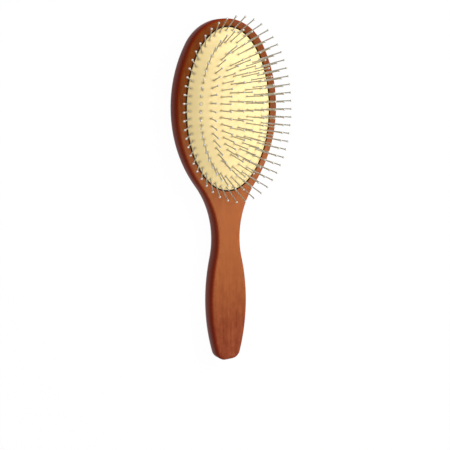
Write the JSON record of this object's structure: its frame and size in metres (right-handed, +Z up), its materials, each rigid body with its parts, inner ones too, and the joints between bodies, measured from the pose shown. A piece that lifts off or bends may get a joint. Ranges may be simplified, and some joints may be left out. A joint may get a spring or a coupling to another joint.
{
  "type": "pin brush",
  "caption": "Oval paddle pin brush: a lacquered wooden body with a flat handle, a domed rubber cushion in its head and ball-tipped steel pins that lean outwards.",
  "frame": {"origin": "on the flat resting face of the wooden back, straight below the middle of the rubber cushion", "axes": "+X across the head, +Y along the brush towards the crown, +Z up out of the back along the pins"},
  "size_m": [0.0854, 0.2372, 0.0381],
  "materials": {
    "lacquered_wood": "clear gloss lacquer over reddish-brown stained wood",
    "cream_rubber": "smooth matt rubber",
    "pin_steel": "bright drawn wire with polished beads"
  },
  "bodies": {
    "root": {"wooden_body": "lacquered_wood", "rubber_cushion": "cream_rubber", "outer_pins": "pin_steel", "second_pins": "pin_steel", "third_pins": "pin_steel", "fourth_pins": "pin_steel", "inner_pins": "pin_steel"}
  },
  "joints": []
}
